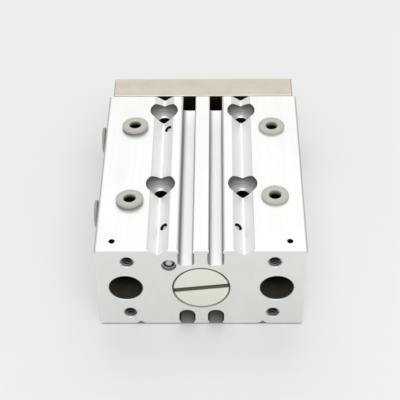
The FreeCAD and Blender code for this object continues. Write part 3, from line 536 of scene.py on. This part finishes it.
# painted shade in the driver slot, and a painted shadow on the rim that darkens towards the top
capShading = {  # a darker driver slot, and a rim that darkens towards the top
    "slotShadeTone": "A9AB9C", "slotNormal": (-math.sin(capTurn), 0.0, math.cos(capTurn)),
    "slotHalf": (0.86 * mm, 0.94 * mm),
    "rimShadowTone": "5A5B50", "rimRadius": (capRim, capRim + 0.05 * mm), "rimHeight": (-capRim / 3, capRim / 2),
}
turnedPieces = {
    "cap_champagne": {"name": "capChampagne", "pale": "F8F9ED", "deep": "EFF0E3",
                      "metal": 0.6, "rough": (0.34, 0.48), "sunkShade": capShading},
    "collar_aluminium": {"name": "collarAluminium", "pale": "D9DADA", "deep": "BFC0C0"},
    "bush_bronze": {"name": "bushBronze", "pale": "B98A4E", "deep": "93683A"},
    "ring_steel": {"name": "ringSteel", "pale": "6E6F72", "deep": "4B4C4F"},
    "ball_steel": {"name": "ballSteel", "pale": "D0D1D1", "deep": "BCBDBE",
                   "pitch": 0.5 * mm, "metal": 0.6, "rough": (0.24, 0.36)},
    "rod_chrome": {"name": "rodChrome", "pale": "DDDEE0", "deep": "C9CACD", "rough": (0.1, 0.18)},
    "piston_aluminium": {"name": "pistonAluminium", "pale": "CFD0D0", "deep": "B4B5B5"},
    "screw_black": {"name": "screwBlack", "pale": "2E2E2F", "deep": "1B1B1C", "rough": (0.35, 0.5)},
}


# painted shade in the driver slot and a painted shadow on the cap's rim towards the top
def shadeSunkSlot(tree, where, colour, sunkShade):
    away = vectorMath(tree, "SUBTRACT", where, (0, 0, axisHeight))
    offLine = lengthOf(tree, vectorMath(tree, "PROJECT", away, sunkShade["slotNormal"]))
    colour = tint(tree, falling(tree, offLine, *sunkShade["slotHalf"]), colour, sunkShade["slotShadeTone"])
    offAxis = lengthOf(tree, splitAlong(tree, away, alongY)[1])
    rimShade = product(tree, rising(tree, offAxis, *sunkShade["rimRadius"]),
                  rising(tree, partsOf(tree, away)[2], *sunkShade["rimHeight"]))
    return tint(tree, rimShade, colour, sunkShade["rimShadowTone"])


def turnedMetal(name, pale, deep, pitch=0.22 * mm, metal=1.0, rough=(0.25, 0.4), sunkShade=None):
    look = turnedLook
    finish, tree, shader, where = startFinish(name, Metallic=metal)
    rings = useGroup(tree, "toolRings", Vector=where, Centre=(0, 0, axisHeight), Axis=alongY, Pitch=pitch)
    clouds = useGroup(tree, "handlingClouds", Vector=where, Cloud_Size=look["cloud"])
    grain = useGroup(tree, "blastedGrain", Vector=where, Grain_Size=look["grain"])
    tone = weigh(tree, (rings["Tone"], clouds["Tone"]), look["toneShares"])
    colour = blendColours(tree, tone, shade(pale), shade(deep))
    if sunkShade:
        colour = shadeSunkSlot(tree, where, colour, sunkShade)
    tree.links.new(colour, shader.inputs["Base Color"])
    setRoughness(tree, shader, weigh(tree, (rings["Tone"], grain["Tone"]), look["roughShares"]), rough)
    setBump(tree, shader, valueMath(tree, "ADD", rings["Height"], grain["Height"]), look)
    return finish


# plated end plate
plateLook = {
    "pale": "CAC3B5", "deep": "BAB3A4", "rubbed": "DDD7CB", "rubShare": 0.7, "rubWidth": 0.7 * mm,
    # the back tone is painted shade on the face towards the body
    "back": "4A463D", "backShadeBand": (0.1 * mm, 0.3 * mm), "metal": 1.0, "rough": (0.3, 0.46),
    "brushed": (26.0, 2600.0, 2600.0), "grain": 0.2 * mm, "cloud": 7 * mm, "toneShares": (0.4, 0.35, 0.25),
    "bump": 0.2, "bumpDepth": 0.015 * mm,
}


def platedSteel():
    look = plateLook
    finish, tree, shader, where = startFinish("plateNickel", Metallic=look["metal"])
    lines = useGroup(tree, "drawnLines", Vector=where, Stretch=look["brushed"])
    grain = useGroup(tree, "blastedGrain", Vector=where, Grain_Size=look["grain"])
    clouds = useGroup(tree, "handlingClouds", Vector=where, Cloud_Size=look["cloud"])
    rub = useGroup(tree, "edgeRub", Vector=where, Centre=(plateLow + plateHigh) / 2,
                   Half_Size=(plateHigh - plateLow) / 2, Width=look["rubWidth"])
    tone = weigh(tree, (lines["Tone"], clouds["Tone"], grain["Tone"]), look["toneShares"])
    colour = blendColours(tree, tone, shade(look["pale"]), shade(look["deep"]))
    colour = tint(tree, product(tree, rub["Mask"], look["rubShare"]), colour, look["rubbed"])
    # painted shade: a dark tone on the face towards the body, for the shadow in the narrow gap between
    # plate and body
    back = falling(tree, partsOf(tree, where)[1], *band(plateLow.y, look["backShadeBand"]))
    tree.links.new(tint(tree, back, colour, look["back"]), shader.inputs["Base Color"])
    setRoughness(tree, shader, tone, look["rough"])
    setBump(tree, shader, valueMath(tree, "ADD", lines["Height"], grain["Height"]), look)
    return finish


# moulded rubber, urethane and magnet
mouldedPieces = {
    "seal_rubber": {"name": "sealRubber", "pale": "1C1C1B", "deep": "2A2A28", "metal": 0.0,
                    "grain": 0.12 * mm, "rough": (0.45, 0.62), "bump": 0.2},
    "bumper_urethane": {"name": "bumperUrethane", "pale": "B8873C", "deep": "96682A", "metal": 0.0,
                        "grain": 0.15 * mm, "rough": (0.3, 0.45), "bump": 0.12},
    "magnet_dark": {"name": "magnetDark", "pale": "3A3937", "deep": "242423", "metal": 0.3,
                    "grain": 0.1 * mm, "rough": (0.4, 0.55), "bump": 0.15},
}
mouldedLook = {"cloud": 4 * mm, "toneShares": (0.45, 0.55), "bumpDepth": 0.02 * mm}


def mouldedSkin(piece):
    look = mouldedLook | piece
    finish, tree, shader, where = startFinish(look["name"], Metallic=look["metal"])
    grain = useGroup(tree, "blastedGrain", Vector=where, Grain_Size=look["grain"])
    clouds = useGroup(tree, "handlingClouds", Vector=where, Cloud_Size=look["cloud"])
    tone = weigh(tree, (grain["Tone"], clouds["Tone"]), look["toneShares"])
    colour = blendColours(tree, tone, shade(look["pale"]), shade(look["deep"]))
    tree.links.new(colour, shader.inputs["Base Color"])
    setRoughness(tree, shader, grain["Tone"], look["rough"])
    setBump(tree, shader, grain["Height"], look)
    return finish


# dust plugs, each with its own axis
plugLook = {
    # the rim and side rim tones, the hollow and the tone under the flanges are painted shade
    "face": "D2D0C5", "rimShade": "C2C0B5", "sideRimShade": "9C9A90", "faceToRim": (2.6 * mm, 4.2 * mm),
    "deep": "B7B5AA", "grain": 0.2 * mm, "cloud": 4 * mm, "toneShares": (0.3, 0.35),
    "hollow": "0D0C08", "hollowRadius": (2.15 * mm, 2.35 * mm), "hollowDepth": (0.15 * mm, 2.0 * mm),
    "underShade": "4B4840", "underRadius": (3.7 * mm, 4.0 * mm), "underDepth": (0.75 * mm, 1.0 * mm),
    "rough": (0.36, 0.52), "bump": 0.15, "bumpDepth": 0.02 * mm,
}


def plugSkin(name):
    look = plugLook
    sideways = "side" in name
    low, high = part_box(name)
    mouth = middleOf(name)
    if sideways:
        mouth.x = low[0]
    else:
        mouth.z = high[2]
    finish, tree, shader, where = startFinish(name + "_skin")
    away = vectorMath(tree, "SUBTRACT", where, mouth)
    inward = (1.0, 0.0, 0.0) if sideways else (0.0, 0.0, -1.0)
    radius = lengthOf(tree, splitAlong(tree, away, inward)[1])
    dot = addNode(tree, "ShaderNodeVectorMath", {0: away, 1: inward}, operation="DOT_PRODUCT")
    depth = dot.outputs["Value"]
    grain = useGroup(tree, "blastedGrain", Vector=where, Grain_Size=look["grain"])
    clouds = useGroup(tree, "handlingClouds", Vector=where, Cloud_Size=look["cloud"])
    # painted shade: the flange face darker towards its rim, the rims of the side plugs darker still
    toRim = rising(tree, radius, *look["faceToRim"])
    colour = tint(tree, toRim, shade(look["face"]), look["sideRimShade" if sideways else "rimShade"])
    tone = weigh(tree, (grain["Tone"], clouds["Tone"]), look["toneShares"])
    colour = tint(tree, tone, colour, look["deep"])
    # painted shade in the hollow of the plug, darker with depth
    hollow = product(tree, falling(tree, radius, *look["hollowRadius"]),
                     rising(tree, depth, *look["hollowDepth"], smooth=True))
    colour = tint(tree, hollow, colour, look["hollow"])
    if "left" in name:
        # painted shadow under the flanges of the two plugs that stand off the body
        underShade = product(tree, rising(tree, radius, *look["underRadius"]),
                        rising(tree, depth, *look["underDepth"]))
        colour = tint(tree, underShade, colour, look["underShade"])
    tree.links.new(colour, shader.inputs["Base Color"])
    setRoughness(tree, shader, grain["Tone"], look["rough"])
    setBump(tree, shader, grain["Height"], look)
    return finish


finishes = {"body_anodised": anodisedBody()}
for slotName, piece in turnedPieces.items():
    finishes[slotName] = turnedMetal(**piece)
finishes["plate_nickel"] = platedSteel()
for slotName, piece in mouldedPieces.items():
    finishes[slotName] = mouldedSkin(piece)
for entry in frame["record"]["subparts"]:
    name, slotName = entry["node"], entry["material_slot"]
    finish = plugSkin(name) if slotName == "plug_plastic" else finishes[slotName]
    mesh = nodes[name].data
    mesh.materials.clear()
    mesh.materials.append(finish)
print("finishes made:", len(bpy.data.materials))


# internal threads, one ridge that winds down each tapped hole

def makeThreadTree():
    tree = bpy.data.node_groups.new("threadRidges", "GeometryNodeTree")
    sides, pointsPerTurn = 3, 40
    # shares of the ridge's height, from its base to its middle and from there to its tip
    baseShare, tipShare = 0.3333, 0.6667
    io = tree.interface
    io.new_socket("Geometry", in_out="INPUT", socket_type="NodeSocketGeometry")
    for label in ("Wall Radius", "Ridge Depth", "Pitch", "Turns"):
        io.new_socket(label, in_out="INPUT", socket_type="NodeSocketFloat")
    points = io.new_socket("Points per Turn", in_out="INPUT", socket_type="NodeSocketInt")
    points.default_value = pointsPerTurn
    io.new_socket("Direction", in_out="INPUT", socket_type="NodeSocketRotation")
    io.new_socket("Finish", in_out="INPUT", socket_type="NodeSocketMaterial")
    io.new_socket("Geometry", in_out="OUTPUT", socket_type="NodeSocketGeometry")
    given, put = tree.nodes.new("NodeGroupInput").outputs, tree.nodes.new("NodeGroupOutput").inputs
    base = product(tree, given["Ridge Depth"], baseShare)
    middle = valueMath(tree, "SUBTRACT", given["Wall Radius"], base)
    spiral = addNode(tree, "GeometryNodeCurveSpiral", {
        "Resolution": given["Points per Turn"], "Rotations": given["Turns"],
        "Start Radius": middle, "End Radius": middle,
        "Height": product(tree, given["Turns"], given["Pitch"])})
    upright = addNode(tree, "GeometryNodeSetCurveNormal", {"Curve": spiral.outputs[0]}, mode="Z_UP")
    ridge = addNode(tree, "GeometryNodeCurvePrimitiveCircle", {
        "Resolution": sides, "Radius": product(tree, given["Ridge Depth"], tipShare)}, mode="RADIUS")
    swept = addNode(tree, "GeometryNodeCurveToMesh", {
        "Curve": upright.outputs[0], "Profile Curve": ridge.outputs[0], "Fill Caps": True})
    placed = addNode(tree, "GeometryNodeInstanceOnPoints", {
        "Points": given["Geometry"], "Instance": swept.outputs[0], "Rotation": given["Direction"]})
    real = addNode(tree, "GeometryNodeRealizeInstances", {0: placed.outputs[0]})
    done = addNode(tree, "GeometryNodeSetMaterial", {
        "Geometry": real.outputs[0], "Material": given["Finish"]})
    tree.links.new(done.outputs[0], put[0])
    return tree


threadTree = makeThreadTree()


def growPiece(name, places, tree, inputs):
    # run a Geometry Nodes tree on bare points and keep the result as a plain mesh
    seed = bpy.data.meshes.new(name + "Points")
    seed.from_pydata([Vector(one) for one in places], [], [])
    source = bpy.data.objects.new(name + "Source", seed)
    bpy.context.scene.collection.objects.link(source)
    modifier = source.modifiers.new("grow", "NODES")
    modifier.node_group = tree
    for item in tree.interface.items_tree:
        if item.item_type == "SOCKET" and item.in_out == "INPUT" and item.name in inputs:
            modifier[item.identifier] = inputs[item.name]
    view = bpy.context.evaluated_depsgraph_get()
    mesh = bpy.data.meshes.new_from_object(source.evaluated_get(view), depsgraph=view)
    piece = bpy.data.objects.new(name, mesh)
    bpy.context.scene.collection.objects.link(piece)
    source.modifiers.clear()
    bpy.data.objects.remove(source)
    return piece


threadLook = {
    "metal": 0.2, "rough": (0.3, 0.45), "worn": 0.7, "grain": 0.1 * mm,
    "bump": 0.2, "bumpDepth": 0.01 * mm, "wallGap": 0.01 * mm,
}


def threadFinish(job, middle, reach, crestRadius):
    # painted highlight and shade: pale crests and darker flanks, each darkening with its own painted shade
    # over the depth of the hole
    look = threadLook
    finish, tree, shader, where = startFinish(job["piece"] + "_metal", Metallic=look["metal"])
    grain = useGroup(tree, "blastedGrain", Vector=where, Grain_Size=look["grain"])
    away = foldHoles(tree, where, middle, reach)
    radius = lengthOf(tree, splitAlong(tree, away, alongY)[1])
    crest = falling(tree, radius, crestRadius, crestRadius + job["crestReach"], smooth=True)
    worn = product(tree, crest, remap(tree, grain["Tone"], 0.0, 1.0, look["worn"], 1.0))
    fromMouth = valueMath(tree, "SUBTRACT", partsOf(tree, where)[1], job["mouth"])
    depth = valueMath(tree, "ABSOLUTE", fromMouth)
    tones = {}
    for label in ("crest", "flank"):
        mouthTone, deepTone = job[label]
        tones[label] = tint(tree, rising(tree, depth, *job[label + "Fade"]), shade(mouthTone), deepTone)
    colour = blendColours(tree, worn, tones["flank"], tones["crest"])
    tree.links.new(colour, shader.inputs["Base Color"])
    setRoughness(tree, shader, grain["Tone"], look["rough"])
    setBump(tree, shader, grain["Height"], look)
    return finish


# crest and flank tones at the mouth and deep in the hole: a painted highlight on the crests, painted shade
# on the flanks and deeper in
threadJobs = [
    {
        "piece": "rear_hole_threads", "pattern": "rear_tapped_holes",
        "body": "barrel", "slot": "body_anodised",
        "mouth": bodyLow.y, "start": 0.5 * mm, "ridge": 0.36 * mm, "pitch": 0.7 * mm, "turns": 12.0,
        "crest": ("FFFFFC", "D2D2CC"), "crestFade": (0.9 * mm, 1.9 * mm), "crestReach": 0.17 * mm,
        "flank": ("ABACA8", "090908"), "flankFade": (0.6 * mm, 1.0 * mm),
    },
    {
        "piece": "plate_hole_threads", "pattern": "plate_tapped_holes",
        "body": "slide_unit", "slot": "plate_nickel",
        "mouth": plateHigh.y, "start": plateLow.y + 0.35 * mm,
        "ridge": 0.42 * mm, "pitch": 0.8 * mm, "turns": 11.6,
        "crest": ("FCFAF4", "E6E2D8"), "crestFade": (2.0 * mm, 7.0 * mm), "crestReach": 0.22 * mm,
        "flank": ("4A463C", "2C2A24"), "flankFade": (1.0 * mm, 4.0 * mm),
    },
]
for job in threadJobs:
    middle, halfX, halfZ, radius = holePattern(job["pattern"])
    places = [(middle.x + x * halfX, job["start"], middle.z + z * halfZ) for x in (-1, 1) for z in (-1, 1)]
    piece = growPiece(job["piece"], places, threadTree, {
        "Wall Radius": radius - threadLook["wallGap"], "Ridge Depth": job["ridge"],
        "Pitch": job["pitch"], "Turns": job["turns"],
        "Direction": (-math.pi / 2, 0.0, 0.0),
        "Finish": threadFinish(job, middle, (halfX, 0, halfZ), radius - job["ridge"])})
    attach(piece, job["body"])
    print("threads cut:", job["piece"], len(piece.data.polygons), "faces")


# stage: floor, light and camera
floorLook = {
    "size": 6.0, "drop": 0.02 * mm, "colour": "F8F9F7", "rough": 0.9,
    "cloud": "F3F4F2", "cloudSize": 0.2, "cloudShare": 0.3,
    "underShade": "A2A39F", "underSide": (-1 * mm, -0.4 * mm),
    "underRear": (-0.1 * mm, 0.3 * mm), "underFront": (-0.5 * mm, 0.0),
}


def layFloor():
    look = floorLook
    half = look["size"] / 2
    corners = [(-half, -half, 0), (half, -half, 0), (half, half, 0), (-half, half, 0)]
    mesh = bpy.data.meshes.new("floor")
    mesh.from_pydata(corners, [], [(0, 1, 2, 3)])
    floor = bpy.data.objects.new("floor", mesh)
    floor.location.z = -look["drop"]
    bpy.context.scene.collection.objects.link(floor)
    finish, tree, shader, where = startFinish("floorPaper", Roughness=look["rough"])
    clouds = useGroup(tree, "handlingClouds", Vector=where, Cloud_Size=look["cloudSize"])
    cloudy = product(tree, clouds["Tone"], look["cloudShare"])
    colour = tint(tree, cloudy, shade(look["colour"]), look["cloud"])
    # painted shadow: a grey patch under the body, seen only through its lower slots and notches
    place = partsOf(tree, where)
    across = valueMath(tree, "ABSOLUTE", place[0])
    underShade = product(tree, falling(tree, across, *band(bodyHigh.x, look["underSide"])),
                    rising(tree, place[1], *band(bodyLow.y, look["underRear"])),
                    falling(tree, place[1], *band(bodyHigh.y, look["underFront"])))
    tree.links.new(tint(tree, underShade, colour, look["underShade"]), shader.inputs["Base Color"])
    mesh.materials.append(finish)


lamps = {
    "over": {"place": (0.03, 0.58, 0.78), "size": (0.75, 0.85), "power": 1.65},
    "front": {"place": (0.1, -0.55, 0.85), "size": (0.8, 0.6), "power": 2.65},
}
lampAim = Vector((0, 0.035, 0.01))


def hangLamps():
    for name, lamp in lamps.items():
        data = bpy.data.lights.new(name, "AREA")
        data.shape = "RECTANGLE"
        data.size, data.size_y = lamp["size"]
        data.energy = lamp["power"]
        one = bpy.data.objects.new(name, data)
        one.location = lamp["place"]
        one.rotation_euler = (lampAim - one.location).to_track_quat("-Z", "Y").to_euler()
        bpy.context.scene.collection.objects.link(one)


# the room: brightness at the horizon and overhead, as a lamp and as metal mirrors it,
# the height where it is full, and the brightness that the camera sees
worldLight = {"lamp": (0.28, 0.66), "mirrored": (0.54, 0.72), "full": 0.5, "seen": 1.0}


def lightWorld():
    world = bpy.data.worlds.new("studio")
    bpy.context.scene.world = world
    world.use_nodes = True
    tree = world.node_tree
    back = tree.nodes["Background"]
    back.inputs["Color"].default_value = (1.0, 1.0, 1.0, 1.0)
    rays = tree.nodes.new("ShaderNodeLightPath").outputs
    direction = tree.nodes.new("ShaderNodeTexCoord").outputs["Generated"]
    up = partsOf(tree, direction)[2]
    lamp = remap(tree, up, 0.0, worldLight["full"], *worldLight["lamp"])
    mirrored = remap(tree, up, 0.0, worldLight["full"], *worldLight["mirrored"])
    glossy = valueMath(tree, "MAXIMUM", rays["Is Glossy Ray"], rays["Is Transmission Ray"])
    strength = remap(tree, glossy, 0.0, 1.0, lamp, mirrored)
    strength = remap(tree, rays["Is Camera Ray"], 0.0, 1.0, strength, worldLight["seen"])
    tree.links.new(strength, back.inputs["Strength"])


# fitted to the corners of the body in the photograph; angles in radians
cameraView = {
    "lens": 105.55907, "sensor": 36, "nearest": 0.01, "place": (0.0051832, -0.2447709, 0.2821969),
    "down": 0.751207, "yaw": -0.020993, "roll": 0.016217,
}


def standCamera():
    view = cameraView
    down, yaw, roll = view["down"], view["yaw"], view["roll"]
    ahead = Vector((math.sin(yaw) * math.cos(down), math.cos(yaw) * math.cos(down), -math.sin(down)))
    right = Vector((math.cos(yaw), -math.sin(yaw), 0))
    below = ahead.cross(right)
    rightRolled = math.cos(roll) * right + math.sin(roll) * below
    belowRolled = math.cos(roll) * below - math.sin(roll) * right
    data = bpy.data.cameras.new("photoView")
    data.sensor_width = view["sensor"]
    data.lens = view["lens"]
    data.clip_start = view["nearest"]
    camera = bpy.data.objects.new("photoView", data)
    turned = Matrix((rightRolled, -belowRolled, -ahead)).transposed().to_4x4()
    camera.matrix_world = Matrix.Translation(view["place"]) @ turned
    bpy.context.scene.collection.objects.link(camera)
    bpy.context.scene.camera = camera


layFloor()
hangLamps()
lightWorld()
standCamera()
bpy.context.scene.view_settings.view_transform = "Standard"
print("stage set")
